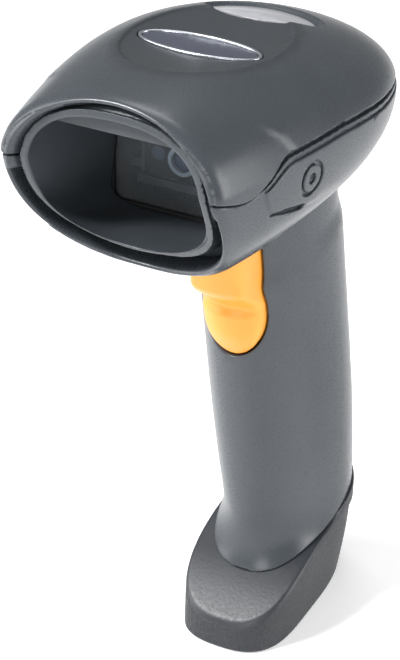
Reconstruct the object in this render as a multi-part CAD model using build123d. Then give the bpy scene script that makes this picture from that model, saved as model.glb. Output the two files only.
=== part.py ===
from build123d import *
import os
import math

# Handheld barcode scanner. Millimetres, +Z up. The origin is the middle of the part's box at the
# level it stands on. The nose looks along -Y and the mirror plane is X = 0.

os.makedirs("parts", exist_ok=True)

# ---- head ----
WALL = 2.4                     # moulded wall of both head shells
NOSE_Y = -52.8                 # foremost point of the head
NOSE_HALF = 26.45              # half width at the nose
HEAD_HALF = 34.75              # half width at the widest station
WIDEST_Y = -0.3                # station where the head is widest
NOSE_FLARE = 1.77              # how the sides flare from the nose
TAIL_LENGTH = 46.4             # from the widest station to the tail
CREST_Y, CREST_Z = -15.3, 167.3
NOSE_DROP = 3.8                # the crest falls this much to the nose
TAIL_Z = 145.2                 # height of the tail point
CREST_POWER = 1.7
BELLY_Y, BELLY_Z = -33.3, 120.7
BELLY_POWER = 1.62
GIRTH_Z = 148.2                # level of the widest line
GIRTH_FALL = 3.0
UPPER_POWER, LOWER_POWER = 2.0, 2.37
HEAD_STATIONS = (-56, -52.8, -43, -32, -20, -8, 4, 14, 23, 31, 37.5, 42.5, 45.3)
OUTER_END, INNER_END = HEAD_STATIONS[-1], HEAD_STATIONS[-2]
SECTION_POINTS = 28            # round each lofted section

# ---- grip ----
GRIP_WALL = 2.2
GRIP_HALF = 16.1
GRIP_FRONT, FRONT_SLOPE = 11.3, 0.1545      # at the level below, and how it leans back
GRIP_BACK, BACK_SLOPE = 50.8, 0.1695
GRIP_LEVEL = 20.0
GRIP_POWER = 2.21
EGG = 0.22                     # the section is narrower at the front than at the back
TAPER_LEVEL, TAPER = 70.0, 2.6
COLLAR_TOP, COLLAR_LOW = 32.0, 13.0
COLLAR_OUT = 3.2               # the collar flares forward over the foot
GRIP_STATIONS = [4 + 9 * step for step in range(16)]

# ---- trigger ----
PIVOT_Y, PIVOT_Z = 7.5, 118.5
PIN_R = 1.0
PIN_CLEARANCE = 0.05
TRIGGER_GAP = 0.4
STEM_HALF, LOBE_HALF = 7.4, 8.0
LOBE_LEVEL = 92.5              # the lobe is widest here, and an oval below
TRIGGER_TIP = 80.4
WINDOW_TOP = 121.0             # upper edge of the trigger's opening
PIN_HALF = 11.0
EAR_R, BOSS_R = 3.0, 2.7
TRIGGER_WALL = 1.8
COIL_R, WIRE_R, COIL_LENGTH, COIL_PITCH = 2.2, 0.25, 6.0, 1.45
COIL_Y = 10.75                 # front end of the return spring
PLUNGER_Z = PIVOT_Z - 20.0
PLUNGER_Y = 11.6
SPRING_Z = PIVOT_Z - 29.5

# ---- optics and electronics ----
WINDOW_Y = -24.8               # rear plane of the nose funnel
LENS_Z = 139.5
ENGINE_FRONT = -18.8
BOARD_TOP = 145.6
PCB = 1.6
BOARD_POSTS = ((16.5, 3.0), (-16.5, 3.0), (15.5, 29.0), (-15.5, 29.0))
CHASSIS_POSTS = ((15.5, -9.0), (-15.5, -9.0))
COVER_POSTS = ((9.5, 36.0), (-9.5, 36.0))
FOOT_SCREW_Y = 17.0
POST_R, PILOT_R = 2.6, 0.95    # screw posts and their pilot holes
POST_LOW = 118.0               # below the head's floor everywhere
SEAT_LEVEL = 133.3             # top of the chassis floor
LED_X = (-8.5, 8.5)
BEEPER_X, BEEPER_Y, BEEPER_R = -10.0, 20.0, 5.8
BEEPER_LOW = 138.6
SHELF_Z = 22.0                 # under side of the interface board
SOCKET_HALF, SOCKET_FRONT, SOCKET_BACK = 6.0, 24.4, 33.6

# ---- foot ----
SPIGOT_X, SPIGOT_Y, SPIGOT_MIDDLE = 18.8, 28.0, 27.0
SPIGOT_LOW = 3.2
REBATE, REBATE_LEVEL = 1.9, 20.0
CAVITY_LEVEL = 24.0
SOCKET_DEPTH = 0.8             # of the recess in a screw's head
HEEL_LAP = 0.3                 # the foot stands this far proud of the grip

parts = {}


def power_curve(t, power):
    return max(0.0, 1.0 - min(max(t, 0.0), 1.0) ** power) ** (1.0 / power)


def signed_power(value, power):
    return math.copysign(abs(value) ** power, value)


def head_half(y):
    if y < WIDEST_Y:
        reach = (WIDEST_Y - y) / (WIDEST_Y - NOSE_Y)
        return HEAD_HALF - (HEAD_HALF - NOSE_HALF) * reach ** NOSE_FLARE
    return HEAD_HALF * power_curve((y - WIDEST_Y) / TAIL_LENGTH, 2.0)


def head_top(y):
    if y < CREST_Y:
        return CREST_Z - NOSE_DROP * ((CREST_Y - y) / (CREST_Y - NOSE_Y)) ** 2
    reach = (y - CREST_Y) / (WIDEST_Y + TAIL_LENGTH - CREST_Y)
    return TAIL_Z + (CREST_Z - TAIL_Z) * power_curve(reach, CREST_POWER)


def head_low(y):
    reach = (y - BELLY_Y) / (WIDEST_Y + TAIL_LENGTH - BELLY_Y)
    return TAIL_Z - (TAIL_Z - BELLY_Z) * power_curve(reach, BELLY_POWER)


def head_girth(y):
    reach = max(0.0, (y - WIDEST_Y) / TAIL_LENGTH)
    return GIRTH_Z - GIRTH_FALL * reach ** 2


def closed_spline(points):
    return Wire([Edge.make_spline(points, periodic=True)])


def head_section(y, inset):
    half = head_half(y) - inset
    girth = head_girth(y)
    points = []
    for step in range(SECTION_POINTS):
        angle = 2 * math.pi * step / SECTION_POINTS
        upper = math.sin(angle) >= 0
        power = 2.0 / (UPPER_POWER if upper else LOWER_POWER)
        height = head_top(y) - inset - girth if upper else girth - head_low(y) - inset
        x = half * signed_power(math.cos(angle), power)
        z = girth + height * signed_power(math.sin(angle), power)
        points.append(Vector(x, y, z))
    return closed_spline(points)


def head_solid(inset, last):
    stations = [y for y in HEAD_STATIONS if y <= last]
    return Solid.make_loft([head_section(y, inset) for y in stations])


def collar(z):
    reach = min(max((COLLAR_TOP - z) / (COLLAR_TOP - COLLAR_LOW), 0.0), 1.0)
    return COLLAR_OUT * reach ** 2


def grip_section(z, inset):
    front = GRIP_FRONT - FRONT_SLOPE * (z - GRIP_LEVEL) - collar(z) + inset
    back = GRIP_BACK - BACK_SLOPE * (z - GRIP_LEVEL) - inset
    taper = TAPER * (max(0.0, TAPER_LEVEL - z) / 50.0) ** 2
    half = GRIP_HALF - taper - inset + 0.3 * collar(z)
    middle, depth = (front + back) / 2, (back - front) / 2
    points = []
    for step in range(SECTION_POINTS):
        angle = 2 * math.pi * step / SECTION_POINTS
        along = signed_power(math.sin(angle), 2.0 / GRIP_POWER)
        across = signed_power(math.cos(angle), 2.0 / GRIP_POWER)
        points.append(Vector(half * (1 + EGG * along) * across, middle + depth * along, z))
    return closed_spline(points)


def grip_solid(inset):
    return Solid.make_loft([grip_section(z, inset) for z in GRIP_STATIONS])


def box(x0, x1, y0, y1, z0, z1):
    return Pos((x0 + x1) / 2, (y0 + y1) / 2, (z0 + z1) / 2) * Box(x1 - x0, y1 - y0, z1 - z0)


def post(x, y, radius, z0, z1):
    return Pos(x, y, (z0 + z1) / 2) * Cylinder(radius, z1 - z0)


def rod_x(y, z, radius, x0, x1):
    return Pos((x0 + x1) / 2, y, z) * Rot(0, 90, 0) * Cylinder(radius, x1 - x0)


def rod_y(x, z, radius, y0, y1):
    return Pos(x, (y0 + y1) / 2, z) * Rot(90, 0, 0) * Cylinder(radius, y1 - y0)


def side_slab(outline, half):
    """A shape drawn in the Y-Z plane, half to each side of the mirror plane."""
    wire = Wire.make_polygon([Vector(0, y, z) for y, z in outline], close=True)
    return extrude(Face(wire), amount=half, dir=(1, 0, 0), both=True)


def curve_slab(curve, closing, half):
    """As side_slab, with a smooth curve closed by straight lines through the closing corners."""
    edge = Edge.make_spline([Vector(0, y, z) for y, z in curve])
    corners = [curve[-1]] + list(closing) + [curve[0]]
    lines = [
        Edge.make_line(Vector(0, *a), Vector(0, *b))
        for a, b in zip(corners[:-1], corners[1:])
    ]
    return extrude(Face(Wire([edge] + lines)), amount=half, dir=(1, 0, 0), both=True)


def face_curve(back=0.0):
    """The nose's front face seen from the side: upright above the girth, raked back below it."""
    return [
        (-49.5 + back, 172.0),
        (-49.7 + back, 163.6),
        (-51.3 + back, 155.0),
        (-52.0 + back, 147.6),
        (-48.2 + back, 137.5),
        (-43.2 + back, 128.9),
        (-38.4 + back, 121.8),
        (-34.4 + back, 115.0),
    ]


def ahead_of_face(back=0.0):
    return curve_slab(face_curve(back), [(-70, 115), (-70, 172)], 45)


def below_parting():
    line = [(-58, 148.0), (-44.8, 146.2), (-40.8, 146.1), (-36.8, 149.2), (-31, 150.9)]
    line += [(-24, 151.9), (-10, 152.0), (5, 150.6), (22, 148.8), (52, 146.2)]
    return curve_slab(line, [(52, -5), (-58, -5)], 60)


def lens_outline(half_length, half_depth, y, low, high):
    """A pointed oval, from two equal arcs, as an upright slab."""
    radius = (half_length ** 2 + half_depth ** 2) / (2 * half_depth)
    offset = radius - half_depth
    return post(0, y - offset, radius, low, high) & post(0, y + offset, radius, low, high)


def oval(half_x, half_z, z, y0, y1):
    face = Face(Wire([Edge.make_ellipse(half_x, half_z)]))
    return extrude(Pos(0, y0, z) * Rot(-90, 0, 0) * face, amount=y1 - y0, dir=(0, 1, 0))


def rounded_frame(y, half, low, high, radius):
    sketch = RectangleRounded(2 * half, high - low, radius)
    return Pos(0, y, (low + high) / 2) * Rot(90, 0, 0) * sketch


# ---- housing ----
head_outer = head_solid(0.0, OUTER_END)
head_inner = head_solid(WALL, INNER_END)
grip_outer = grip_solid(0.0)
grip_inner = grip_solid(GRIP_WALL)

BADGE_Y, BADGE_HALF, BADGE_DEPTH = -15.8, 13.6, 4.7
LIGHT_Y, LIGHT_HALF_X, LIGHT_HALF_Y = 15.5, 13.0, 6.5
BADGE_THICK, LIGHT_THICK = 1.0, 1.8


def top_layer(depth, thickness):
    """A skin of the head between two depths under its surface."""
    return head_solid(depth, INNER_END) - head_solid(depth + thickness, INNER_END)


def light_plug(grow, low=150.0):
    plug = Pos(0, LIGHT_Y, 0) * extrude(Ellipse(LIGHT_HALF_X + grow, LIGHT_HALF_Y + grow), amount=30)
    return Pos(0, 0, low) * plug


def make_housing():
    lower = below_parting()
    ahead = ahead_of_face()
    shell = head_outer - head_inner - ahead
    cover = shell - lower
    for x, y in COVER_POSTS:
        cover += (post(x, y, POST_R + 0.4, 147.5, 165) & head_solid(WALL / 2, INNER_END)) - lower
        cover -= post(x, y, 1.25, 140, 151)
    badge_seat = lens_outline(BADGE_HALF + 0.15, BADGE_DEPTH + 0.15, BADGE_Y, 150, 175)
    cover -= badge_seat - head_solid(BADGE_THICK + 0.4, INNER_END)
    cover -= light_plug(0.15)
    parts["top_cover"] = cover
    badge = lens_outline(BADGE_HALF, BADGE_DEPTH, BADGE_Y, 150, 175) & top_layer(0.4, BADGE_THICK)
    parts["badge_inlay"] = badge
    parts["status_lens"] = light_plug(0.0) & top_layer(0.4, LIGHT_THICK)

    body = (head_outer - ahead) & lower
    body += make_grip_skin()
    body -= head_inner
    body -= grip_inner & box(-30, 30, -30, 70, CAVITY_LEVEL, 150)
    body -= spigot(-1.8, SPIGOT_LOW + 2.2, CAVITY_LEVEL + 1)
    rails = box(9.3, 15, 18.6, 23.4, 84, 112) + box(-15, -9.3, 18.6, 23.4, 84, 112)
    rails += box(-15, 15, 17.2, 18.6, 84.5, 93)
    ears = rod_x(PIVOT_Y, PIVOT_Z, EAR_R, 8.9, 15) + rod_x(PIVOT_Y, PIVOT_Z, EAR_R, -15, -8.9)
    foot_boss = post(0, FOOT_SCREW_Y, 3.2, SPIGOT_LOW + 1, 15)
    body += (rails + ears) & grip_outer
    body += foot_boss
    for x, y in BOARD_POSTS:
        body += post(x, y, POST_R, POST_LOW, BOARD_TOP - PCB) & head_outer
        body -= post(x, y, PILOT_R, 137.5, 150)
    for x, y in CHASSIS_POSTS:
        body += post(x, y, POST_R, POST_LOW, 131.3) & head_outer
        body -= post(x, y, PILOT_R, 125.5, 135)
    for x, y in COVER_POSTS:
        body += (post(x, y, 4.4, POST_LOW, 146.5) & head_outer)
        body -= post(x, y, 1.5, POST_LOW, 150) + post(x, y, 2.8, POST_LOW, 139.5)
    body -= box(-10.2, 10.2, 20.0, 21.6, 84, 113)
    body -= rod_x(PIVOT_Y, PIVOT_Z, PIN_R, -PIN_HALF, PIN_HALF)
    body -= trigger_window()
    body -= box(-SOCKET_HALF, SOCKET_HALF, SOCKET_FRONT, SOCKET_BACK, 0, 10)
    body -= post(0, FOOT_SCREW_Y, 1.3, 0, 13)
    parts["main_housing"] = body


def foot_slope():
    """Everything under the foot's upper surface."""
    top_line = [(-9, 3.5), (-3.6, 7.6), (5.7, 14.0), (14.7, 19.4), (24.7, 22.9), (34.7, 25.4)]
    top_line += [(43, 28.6), (48.5, 32.6), (51, 35)]
    return curve_slab(top_line, [(60, 35), (60, -2), (-9, -2)], 30)


def spigot(grow, low, high):
    """The squared tail of the grip that the foot is pressed over."""
    sketch = RectangleRounded(SPIGOT_X + 2 * grow, SPIGOT_Y + 2 * grow, 5.0 + grow)
    return Pos(0, SPIGOT_MIDDLE, low) * extrude(sketch, amount=high - low)


def make_grip_skin():
    """The grip's outside, stepped back where the foot covers it."""
    under = foot_slope()
    rebate = grip_solid(REBATE) & under & box(-30, 30, -30, 70, REBATE_LEVEL, 60)
    return (grip_outer - under) + rebate + spigot(0.0, SPIGOT_LOW, REBATE_LEVEL + 1)


def trigger_window():
    """The opening in the front of the grip, a little larger than the trigger all round."""
    half = LOBE_HALF + TRIGGER_GAP
    return box(-half, half, -20, 14, LOBE_LEVEL, WINDOW_TOP) + lobe_bar(TRIGGER_GAP, -20, 14)


def lobe_bar(grow, front, back):
    """The trigger's lower lobe as an oval bar along Y."""
    return oval(LOBE_HALF + grow, LOBE_LEVEL - TRIGGER_TIP + grow, LOBE_LEVEL, front, back)


# ---- nose ----
LIP_HALF_X, LIP_LOW, LIP_HIGH = 20.9, 129.5, 160.5
LIP_WALL = 1.4
GROOVE_TOP, GROOVE_DEPTH = 143.5, 6.5
FUNNEL_TOP, FUNNEL_FLOOR = 155.7, 129.2
FUNNEL_FRONT_HALF, FUNNEL_REAR_HALF = 20.6, 14.8
FLANGE = 8.0


def funnel(grow):
    low, high = FUNNEL_FLOOR - grow, FUNNEL_TOP + grow
    front = rounded_frame(-54, FUNNEL_FRONT_HALF + 0.6 + grow, low, high, 9 + grow)
    rear = rounded_frame(WINDOW_Y, FUNNEL_REAR_HALF + grow, low, high, 3 + grow)
    return loft([front.face(), rear.face()])


def make_nose():
    middle = (LIP_LOW + LIP_HIGH) / 2
    half_z = (LIP_HIGH - LIP_LOW) / 2
    flange = head_solid(WALL + 0.15, 14) - ahead_of_face(1.0)
    flange = flange & ahead_of_face(1.0 + FLANGE)
    lip = oval(LIP_HALF_X + LIP_WALL, half_z + LIP_WALL, middle, -70, 0)
    groove = box(-40, 40, -70, 0, 100, GROOVE_TOP) - lip
    flange -= groove & ahead_of_face(GROOVE_DEPTH)
    tube = funnel(1.8) - ahead_of_face(4.0)
    bezel = flange + tube - funnel(0.0)
    bezel -= oval(LIP_HALF_X, half_z, middle, -70, 0) & ahead_of_face(3.6)
    parts["nose_bezel"] = bezel
    window_low, window_high = FUNNEL_FLOOR - 1.6, FUNNEL_TOP + 1.6
    half = FUNNEL_REAR_HALF + 1.6
    ring = box(-half, half, WINDOW_Y, WINDOW_Y + 0.8, window_low, window_high)
    opening = box(1.6 - half, half - 1.6, -40, 0, FUNNEL_FLOOR, FUNNEL_TOP)
    parts["window_gasket"] = ring - opening
    pane = box(-half, half, WINDOW_Y + 0.8, WINDOW_Y + 2.3, window_low, window_high)
    parts["scan_window"] = fillet(pane.edges().filter_by(Axis.Y), 2.0)


# ---- trigger and its mechanism ----
def trigger_profile():
    """Side view of the trigger: hooked upper bump, finger hollow, then the lower lobe."""
    return [
        (-3.6, 120.3), (-6.2, 113.0), (-7.5, 105.5), (-6.2, 99.8), (-2.4, 96.2),
        (-1.9, 92.0), (-1.2, 87.5), (0.6, 83.4), (3.4, TRIGGER_TIP), (6.6, 81.6),
        (9.9, 84.0), (10.0, 92.0), (10.0, 97.0), (11.4, 97.2), (11.4, 99.8), (10.2, 100.2),
        (10.2, 120.3),
    ]


def make_trigger():
    slab = side_slab(trigger_profile(), LOBE_HALF)
    stem = box(-STEM_HALF, STEM_HALF, -20, 20, LOBE_LEVEL, 125)
    trigger = slab & (lobe_bar(0.0, -20, 20) + stem)
    trigger += rod_x(PIVOT_Y, PIVOT_Z, BOSS_R, -STEM_HALF, STEM_HALF)
    hollow = STEM_HALF - TRIGGER_WALL
    trigger -= box(-hollow, hollow, 0.8, 8.6, 86.5, 114)
    trigger -= rod_x(PIVOT_Y, PIVOT_Z, PIN_R + PIN_CLEARANCE, -20, 20)
    parts["trigger"] = trigger
    parts["trigger_pin"] = rod_x(PIVOT_Y, PIVOT_Z, PIN_R, -PIN_HALF, PIN_HALF)
    wire = Wire([Edge.make_helix(pitch=COIL_PITCH, height=COIL_LENGTH, radius=COIL_R)])
    section = Plane(origin=wire @ 0, z_dir=wire % 0) * Circle(WIRE_R)
    spring = sweep(section.face(), path=wire)
    parts["trigger_spring"] = Pos(0, COIL_Y, SPRING_Z) * Rot(-90, 0, 0) * spring
    switch = box(-3.2, 3.2, 14, 20, PLUNGER_Z - 3, PLUNGER_Z + 3)
    switch -= box(-1.35, 1.35, 10, 17.7, PLUNGER_Z - 1.05, PLUNGER_Z + 1.05)
    parts["trigger_switch"] = switch
    parts["switch_plunger"] = box(-1.2, 1.2, PLUNGER_Y, 15.9, PLUNGER_Z - 0.9, PLUNGER_Z + 0.9)


# ---- optics ----
def make_optics():
    floor = box(-12.5, 12.5, -19, -2.4, 131.3, SEAT_LEVEL) + box(-18.3, 18.3, -12, -6, 131.3, SEAT_LEVEL)
    cheeks = box(11, 12.5, -17.2, -2.4, SEAT_LEVEL, 152) + box(-12.5, -11, -17.2, -2.4, SEAT_LEVEL, 152)
    back = box(-12.5, 12.5, -4.2, -2.4, SEAT_LEVEL, 139)
    chassis = floor + cheeks + back
    for x, y in CHASSIS_POSTS:
        chassis -= post(x, y, 1.1, 130, 135)
    parts["optics_chassis"] = chassis
    engine = box(-10.6, 10.6, ENGINE_FRONT, -4.3, 133.5, 146)
    engine -= rod_y(0, LENS_Z, 2.6, ENGINE_FRONT, ENGINE_FRONT + 4)
    engine -= rod_y(-6.8, LENS_Z, 1.7, ENGINE_FRONT, ENGINE_FRONT + 1.2)
    parts["scan_engine"] = engine
    barrel = rod_y(0, LENS_Z, 3.5, ENGINE_FRONT - 2.0, ENGINE_FRONT) - rod_y(0, LENS_Z, 2.6, -30, 0)
    parts["lens_barrel"] = barrel
    parts["camera_lens"] = rod_y(0, LENS_Z, 2.55, ENGINE_FRONT - 1.4, ENGINE_FRONT + 0.6)
    parts["aimer_lens"] = rod_y(-6.8, LENS_Z, 1.65, ENGINE_FRONT - 0.5, ENGINE_FRONT + 1.1)
    parts["illumination_board"] = box(-13.5, 13.5, -18.8, -17.3, 147, 154)
    leds = [box(x - 1.4, x + 1.4, -19.8, -18.8, 148.6, 151.4) for x in LED_X]
    parts["illumination_leds"] = Compound(children=[led.solid() for led in leds])
    lenses = []
    for x in LED_X:
        cup = rod_y(x, 150, 2.9, -21.4, -18.8) - box(x - 1.6, x + 1.6, -20.0, -18, 148.4, 151.6)
        lenses.append(cup.solid())
    parts["led_lenses"] = Compound(children=lenses)
    outline = [(-4.3, 142), (-2.6, 142), (-2.6, 146.8), (0.2, 146.8), (0.2, 146.5), (-2.3, 146.5)]
    outline += [(-2.3, 141.7), (-4.3, 141.7)]
    parts["engine_flex"] = side_slab(outline, 7)


# ---- boards ----
def harness(points, radius, bends):
    path = FilletPolyline(*[Vector(*p) for p in points], radius=bends)
    wire = Wire(path.edges())
    section = Plane(origin=wire @ 0, z_dir=wire % 0) * Circle(radius)
    return sweep(section.face(), path=wire)


def make_boards():
    board = box(-19, 19, -1, 31.2, BOARD_TOP - PCB, BOARD_TOP)
    for x, y in BOARD_POSTS:
        board -= post(x, y, 1.1, 140, 150)
    parts["main_board"] = board
    chips = [box(-10, 2, 11, 23, BOARD_TOP, BOARD_TOP + 1.3), box(6, 13, 6, 13, BOARD_TOP, BOARD_TOP + 1.0)]
    chips += [box(5, 10, 16, 24, BOARD_TOP, BOARD_TOP + 1.0)]
    parts["board_chips"] = Compound(children=[chip.solid() for chip in chips])
    connectors = [box(-8, 8, 0.2, 4.2, BOARD_TOP, BOARD_TOP + 2.0)]
    connectors += [box(-1.5, 7.5, 21.6, 25.6, BOARD_TOP - PCB - 4, BOARD_TOP - PCB)]
    parts["board_connectors"] = Compound(children=[item.solid() for item in connectors])
    parts["status_led"] = box(2.4, 4.6, LIGHT_Y - 1.0, LIGHT_Y + 1.0, BOARD_TOP, BOARD_TOP + 1.2)
    pipe = post(3.5, LIGHT_Y, 2.2, BOARD_TOP + 1.4, 170) & head_solid(0.6 + LIGHT_THICK, INNER_END)
    parts["light_pipe"] = pipe
    beeper = post(BEEPER_X, BEEPER_Y, BEEPER_R, BEEPER_LOW, BOARD_TOP - PCB)
    parts["beeper"] = beeper - post(BEEPER_X, BEEPER_Y, 1.0, BEEPER_LOW - 1, BEEPER_LOW + 1.4)
    gasket = post(BEEPER_X, BEEPER_Y, BEEPER_R, BEEPER_LOW - 1, BEEPER_LOW)
    parts["beeper_gasket"] = gasket - post(BEEPER_X, BEEPER_Y, 4.0, BEEPER_LOW - 2, BEEPER_LOW + 1)
    parts["grip_board"] = box(-10, 10, 20.1, 21.5, 84.2, 112)
    parts["interface_board"] = box(-7.2, 7.2, 19.8, 36.4, SHELF_Z, SHELF_Z + PCB)
    socket = box(-7.4, 7.4, 22, 36, SPIGOT_LOW + 2.2, SHELF_Z)
    socket -= box(-SOCKET_HALF, SOCKET_HALF, SOCKET_FRONT, SOCKET_BACK, 4, 18)
    parts["interface_socket"] = socket
    pins = [box(x - 0.2, x + 0.2, 32.4, SOCKET_BACK, 9, 18) for x in [1.1 * k - 4.95 for k in range(10)]]
    parts["socket_contacts"] = Compound(children=[pin.solid() for pin in pins])
    low_run = [(0, 30, SHELF_Z + PCB), (0, 30, 34), (0, 27, 58), (0, 23.5, 80), (0, 23.5, 90)]
    parts["grip_harness"] = harness(low_run, 1.4, 16)
    high_run = [(4, 23.2, 104), (4, 23.2, 116), (3, 23.6, 128), (3, 23.6, 139.9)]
    parts["head_harness"] = harness(high_run, 1.2, 20)


# ---- foot and fasteners ----
def outline_wire(half_points, z):
    right = [Vector(x, y, z) for x, y in half_points]
    left = [Vector(-x, y, z) for x, y in reversed(half_points) if x > 0]
    return closed_spline(right + left)


def make_foot():
    floor_line = [(0, -5.0), (6, -4.3), (9.9, -1.7), (12.2, 3.5), (13.0, 10), (12.8, 19)]
    floor_line += [(12.0, 29), (10.6, 39), (7.4, 47), (0, 51.6)]
    girth_line = [(0, -3.0), (6.6, -2.3), (10.8, 0.6), (13.4, 6), (14.4, 12), (14.6, 19.5)]
    girth_line += [(14.3, 29), (12.8, 39.5), (8.8, 48), (0, 52.1)]
    ridge_line = [(0, -1.2), (7.0, -0.4), (11.4, 2.6), (14.1, 8), (15.4, 14.5), (15.9, 22)]
    ridge_line += [(15.6, 30), (14.0, 39.5), (9.4, 47.6), (0, 51.6)]
    upper_line = [(0, 1.5), (7.4, 2.5), (11.8, 5.6), (14.6, 11), (15.9, 17), (16.3, 24)]
    upper_line += [(15.9, 31), (14.2, 38.5), (9.0, 45.6), (0, 48.6)]
    levels = ((floor_line, 0), (girth_line, 12), (ridge_line, 24), (upper_line, 36))
    block = Solid.make_loft([outline_wire(line, z) for line, z in levels])
    under = foot_slope()
    lap = grip_solid(-HEEL_LAP) & under & box(-30, 30, 12, 70, REBATE_LEVEL + 2, 60)
    foot = (block & under) + lap
    foot -= grip_solid(REBATE) & box(-30, 30, -30, 70, REBATE_LEVEL, 60)
    foot -= spigot(0.0, SPIGOT_LOW, REBATE_LEVEL + 4)
    foot -= box(-7, 7, 23.6, 34.4, -1, 6)
    foot -= post(0, FOOT_SCREW_Y, 1.5, -1, 8) + post(0, FOOT_SCREW_Y, 3.0, -1, 2.0)
    parts["handle_foot"] = foot


def screws(places, head_r, head_h, shank_r, length, seat, up=False):
    """Screws whose heads sit at the seat level; up is true where they are driven upward."""
    way = -1 if up else 1
    end = seat + way * head_h
    group = []
    for x, y in places:
        head = post(x, y, head_r, *sorted((seat, end)))
        shank = post(x, y, shank_r, *sorted((seat, seat - way * length)))
        socket = post(x, y, head_r * 0.45, *sorted((end, end - way * SOCKET_DEPTH)))
        group.append((head + shank - socket).solid())
    return Compound(children=group) if len(group) > 1 else group[0]


def make_fasteners():
    parts["board_screws"] = screws(BOARD_POSTS, 1.9, 1.3, 0.9, 6.5, BOARD_TOP)
    parts["chassis_screws"] = screws(CHASSIS_POSTS, 1.9, 1.3, 0.9, 6.5, SEAT_LEVEL)
    parts["cover_screws"] = screws(COVER_POSTS, 2.6, 1.8, 1.2, 10.0, 139.5, up=True)
    parts["foot_screw"] = screws([(0, FOOT_SCREW_Y)], 2.7, 1.5, 1.25, 10.0, 2.0, up=True)


make_housing()
make_nose()
make_trigger()
make_optics()
make_boards()
make_foot()
make_fasteners()

for name, shape in parts.items():
    export_step(shape, f"parts/{name}.step")
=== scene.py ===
"""Looks of a handheld barcode scanner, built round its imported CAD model.

The moulded pieces are solids described by distance fields in millimetres, in the CAD frame
(+Z up, nose along -Y, mirror plane X = 0), and meshed with OpenVDB. Everything ends in metres.
"""
import math

import bmesh
import bpy
import numpy as np
import openvdb
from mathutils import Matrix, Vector


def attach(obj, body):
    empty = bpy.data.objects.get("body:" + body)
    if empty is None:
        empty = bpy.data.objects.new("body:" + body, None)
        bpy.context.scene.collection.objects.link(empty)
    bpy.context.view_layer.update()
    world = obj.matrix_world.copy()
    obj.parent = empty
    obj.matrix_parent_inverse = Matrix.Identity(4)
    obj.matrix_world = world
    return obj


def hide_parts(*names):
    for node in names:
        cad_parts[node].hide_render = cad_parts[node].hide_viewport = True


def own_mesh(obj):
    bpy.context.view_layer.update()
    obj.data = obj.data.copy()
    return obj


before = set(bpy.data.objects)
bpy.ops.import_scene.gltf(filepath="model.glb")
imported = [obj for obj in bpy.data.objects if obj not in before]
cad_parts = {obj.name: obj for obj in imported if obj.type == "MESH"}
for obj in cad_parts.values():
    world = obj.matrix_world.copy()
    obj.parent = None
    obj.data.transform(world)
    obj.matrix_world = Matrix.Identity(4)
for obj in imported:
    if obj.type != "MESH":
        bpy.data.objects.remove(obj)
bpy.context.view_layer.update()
MM = 0.001

# ------------------------------------------------------------------ driving dimensions, mm
WALL = 2.4
NOSE_Y, WIDEST_Y, TAIL_LENGTH = -52.8, -0.3, 46.4
NOSE_HALF, HEAD_HALF, NOSE_FLARE = 26.45, 34.75, 1.77
CREST_Y, CREST_Z, NOSE_DROP, CREST_POWER = -15.3, 167.3, 3.8, 1.7
BELLY_Y, BELLY_Z, BELLY_POWER = -33.3, 120.7, 1.62
TAIL_Z, GIRTH_Z, GIRTH_FALL = 145.2, 148.2, 3.0
LOWER_POWER = 2.37

GRIP_WALL, GRIP_HALF, GRIP_POWER, EGG = 2.2, 16.1, 2.21, 0.22
GRIP_FRONT, FRONT_SLOPE = 11.3, 0.1545
WAIST = 0.8                          # the grip is drawn in this much under the head
GRIP_BACK, BACK_SLOPE = 50.8, 0.1695
GRIP_LEVEL, TAPER_LEVEL, TAPER = 20.0, 70.0, 2.6
REBATE, REBATE_LEVEL = 1.9, 20.0
SPIGOT = (9.4, 14.0, 27.0)          # half width, half depth, middle
SPIGOT_LOW = 3.2                     # level of the spigot's end inside the foot
COLLAR_OUT, COLLAR_HEIGHT = 4.6, 12.5
GRIP_TOP = 138.0                     # the grip runs up into the head as far as this
TOP_ABOVE = 150.0                    # what lies above this is the top of the head

FACE_Y, RAKE_Z = -52.0, 147.6        # the nose's front face, and where its rake starts
PARTING_Z, PARTING_RISE, PARTING_FALL = 146.15, 5.9, 5.9
ROUNDEL_Y, ROUNDEL_Z, ROUNDEL_RADIUS = -22.4, 144.0, 3.4
SLIT_Y, SLIT_Z, SLIT_LENGTH, SLIT_DROP = -34.8, 140.1, 11.2, 2.5

PIVOT_Y, PIVOT_Z = 7.5, 118.5
STEM_HALF, LOBE_HALF, LOBE_LEVEL, TIP_Z = 7.4, 8.0, 92.5, 80.4
BUMP_Z, BUMP_OUT, LOBE_OUT = 93.2, 6.6, 2.5
TRIGGER_GAP, TRIGGER_TOP, OPENING_TOP = 0.4, 120.3, 121.4
SPRING_Z = 89.0                      # height of the return spring's axis
SPRING_RADIUS, SPRING_WIRE, SPRING_TURNS = 1.95, 0.25, 7.0
SPRING_FRONT, SPRING_BACK = 10.75, 16.75

LIP_X, LIP_Z, LIP_MIDDLE = 21.7, 16.2, 144.4
LIP_BACK = 3.3                       # how far the lip stands behind the outer rim, at most
WINDOW_Y = -24.8
CEILING, GROOVE_TOP, RIM_DEPTH = 155.7, 143.0, 5.0
SEAM = 0.32                          # gap between the cover and the housing
FINE = 0.31                          # edge of a mesh cell on the moulded pieces


# ------------------------------------------------------------------ small field helpers
def blend_min(a, b, k):
    """The smaller of two fields, rounded over about k where they meet."""
    h = np.clip(0.5 + 0.5 * (b - a) / k, 0.0, 1.0)
    return b + (a - b) * h - k * h * (1.0 - h)


def blend_max(a, b, k):
    return -blend_min(-a, -b, k)


def smooth(t):
    t = np.clip(t, 0.0, 1.0)
    return t * t * (3.0 - 2.0 * t)


def power_curve(t, power):
    """Falls from 1 at t = 0 to almost 0 at t = 1, as a superellipse does."""
    return np.maximum(1e-4, 1.0 - np.clip(t, 0.0, 1.0) ** power) ** (1.0 / power)


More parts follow.
